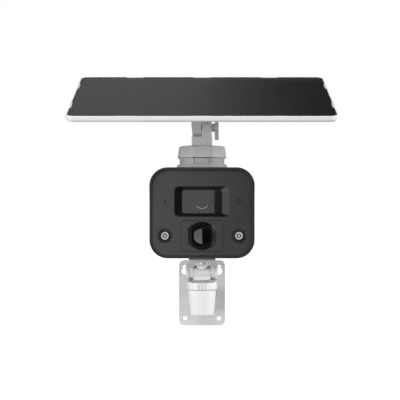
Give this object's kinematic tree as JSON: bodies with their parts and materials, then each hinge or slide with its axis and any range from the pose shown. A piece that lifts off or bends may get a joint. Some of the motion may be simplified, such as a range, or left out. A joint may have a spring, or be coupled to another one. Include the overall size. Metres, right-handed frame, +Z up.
{
  "type": "solar security camera",
  "caption": "Wall-mounted battery security camera with a tilting solar panel on top, spotlights and a motion sensor, on a jointed arm.",
  "frame": {"origin": "centre of the wall plate's back face, on the wall", "axes": "+Y into the wall, +Z up, +X to the right seen from the front; the camera looks along -Y"},
  "size_m": [0.2816, 0.1655, 0.2901],
  "materials": {
    "white_plastic": "satin moulded plastic",
    "pale_grey_plastic": "satin moulded plastic",
    "mid_grey_plastic": "satin moulded plastic",
    "light_grey_plastic": "satin moulded plastic",
    "dark_grey_plastic": "satin moulded plastic",
    "charcoal_plastic": "fine matte texture",
    "housing_black": "fine matte texture",
    "satin_black": "satin",
    "black_gloss": "polished",
    "black_plastic": "matte",
    "dark_rubber": "matte",
    "foot_rubber": "matte",
    "plated_steel": "bright plating",
    "steel": "brushed",
    "brass": "machined",
    "tinted_glass": "polished",
    "clear_plastic": "polished",
    "light_chip": "phosphor",
    "circuit_board": "solder mask",
    "battery_wrap": "shrink wrap",
    "reset_white": "satin",
    "solar_cover": "fine dimpled film",
    "solar_cells": "silicon cells"
  },
  "bodies": {
    "wall_bracket": {"wall_plate": "white_plastic", "arm": "white_plastic", "arm_screws": "steel", "cup_plug": "white_plastic"},
    "collar": {"lock_collar": "white_plastic"},
    "stem": {"stem": "pale_grey_plastic", "stem_washer": "steel", "stem_screw": "steel"},
    "fork": {"fork": "pale_grey_plastic", "pivot_bolt": "steel", "pivot_nut": "steel", "side_caps": "pale_grey_plastic"},
    "screw": {"camera_screw": "plated_steel"},
    "screw_handle": {"d_ring": "plated_steel"},
    "camera": {"front_hood": "housing_black", "front_panel": "charcoal_plastic", "front_seal": "dark_rubber", "rear_housing": "housing_black", "housing_screws": "steel", "lens_bezel": "satin_black", "lens_window": "tinted_glass", "lens_barrel": "black_plastic", "front_lens": "tinted_glass", "sensor_board": "circuit_board", "infrared_emitters": "black_plastic", "spotlight_cups": "satin_black", "spotlight_lenses": "clear_plastic", "light_chips": "light_chip", "motion_frame": "charcoal_plastic", "motion_dome": "black_gloss", "motion_sensor": "steel", "microphone": "black_plastic", "light_sensor_window": "charcoal_plastic", "main_board": "circuit_board", "battery_cells": "battery_wrap", "speaker": "black_plastic", "antenna": "circuit_board", "charge_socket": "steel", "card_socket": "steel", "foot_pad": "foot_rubber", "thread_insert": "brass", "mount_flange": "dark_grey_plastic", "mount_ring": "dark_grey_plastic", "button_spring": "steel"},
    "flap": {"service_flap": "dark_rubber"},
    "power_key": {"power_button": "charcoal_plastic"},
    "reset_key": {"reset_button": "reset_white"},
    "release_key": {"release_button": "dark_grey_plastic"},
    "cap": {"swivel_cap": "mid_grey_plastic", "tilt_ear": "light_grey_plastic"},
    "wing": {"wing_bolt": "light_grey_plastic"},
    "panel": {"tilt_lug": "light_grey_plastic", "friction_washer": "dark_rubber", "lug_nut": "steel", "lug_screws": "steel", "panel_frame": "white_plastic", "panel_cover": "solar_cover", "cell_sheet": "solar_cells", "panel_tray": "white_plastic", "junction_box": "white_plastic"}
  },
  "joints": [
    {"name": "collar_turn", "type": "hinge", "parent": "wall_bracket", "child": "collar", "pos_m": [0, -0.072, 0.0127], "axis": [0, 0, 1], "range_deg": [0, 90]},
    {"name": "stem_pan", "type": "hinge", "parent": "wall_bracket", "child": "stem", "pos_m": [0, -0.072, 0], "axis": [0, 0, 1], "range_deg": [-90, 90]},
    {"name": "fork_tilt", "type": "hinge", "parent": "stem", "child": "fork", "pos_m": [0, -0.072, 0.0273], "axis": [1, 0, 0], "range_deg": [-10, 45]},
    {"name": "screw_spin", "type": "hinge", "parent": "fork", "child": "screw", "pos_m": [0, -0.084, 0.0402], "axis": [0, 0, 1], "continuous": true},
    {"name": "handle_swing", "type": "hinge", "parent": "screw", "child": "screw_handle", "pos_m": [0, -0.084, 0.0382], "axis": [1, 0, 0], "range_deg": [-40, 20]},
    {"name": "camera_swivel", "type": "hinge", "parent": "fork", "child": "camera", "pos_m": [0, -0.084, 0.0448], "axis": [0, 0, 1], "range_deg": [-90, 90]},
    {"name": "flap_open", "type": "hinge", "parent": "camera", "child": "flap", "pos_m": [0, -0.0335, 0.055], "axis": [1, 0, 0], "range_deg": [-100, 0]},
    {"name": "power_press", "type": "slide", "parent": "camera", "child": "power_key", "axis": [0, -1, 0], "range_m": [0, 0.0012], "stiffness_N_per_m": 900, "springref_m": -0.001},
    {"name": "reset_press", "type": "slide", "parent": "camera", "child": "reset_key", "axis": [0, -1, 0], "range_m": [0, 0.0008], "stiffness_N_per_m": 700, "springref_m": -0.001},
    {"name": "release_press", "type": "slide", "parent": "camera", "child": "release_key", "axis": [0, 1, 0], "range_m": [0, 0.0016], "stiffness_N_per_m": 900, "springref_m": -0.002, "deforming": ["button_spring"]},
    {"name": "cap_pan", "type": "hinge", "parent": "camera", "child": "cap", "pos_m": [0, -0.072, 0.1536], "axis": [0, 0, 1], "range_deg": [-180, 180]},
    {"name": "wing_spin", "type": "hinge", "parent": "cap", "child": "wing", "pos_m": [0, -0.072, 0.1876], "axis": [1, 0, 0], "continuous": true},
    {"name": "panel_tilt", "type": "hinge", "parent": "cap", "child": "panel", "pos_m": [0, -0.072, 0.1876], "axis": [1, 0, 0], "range_deg": [-45, 35]}
  ]
}
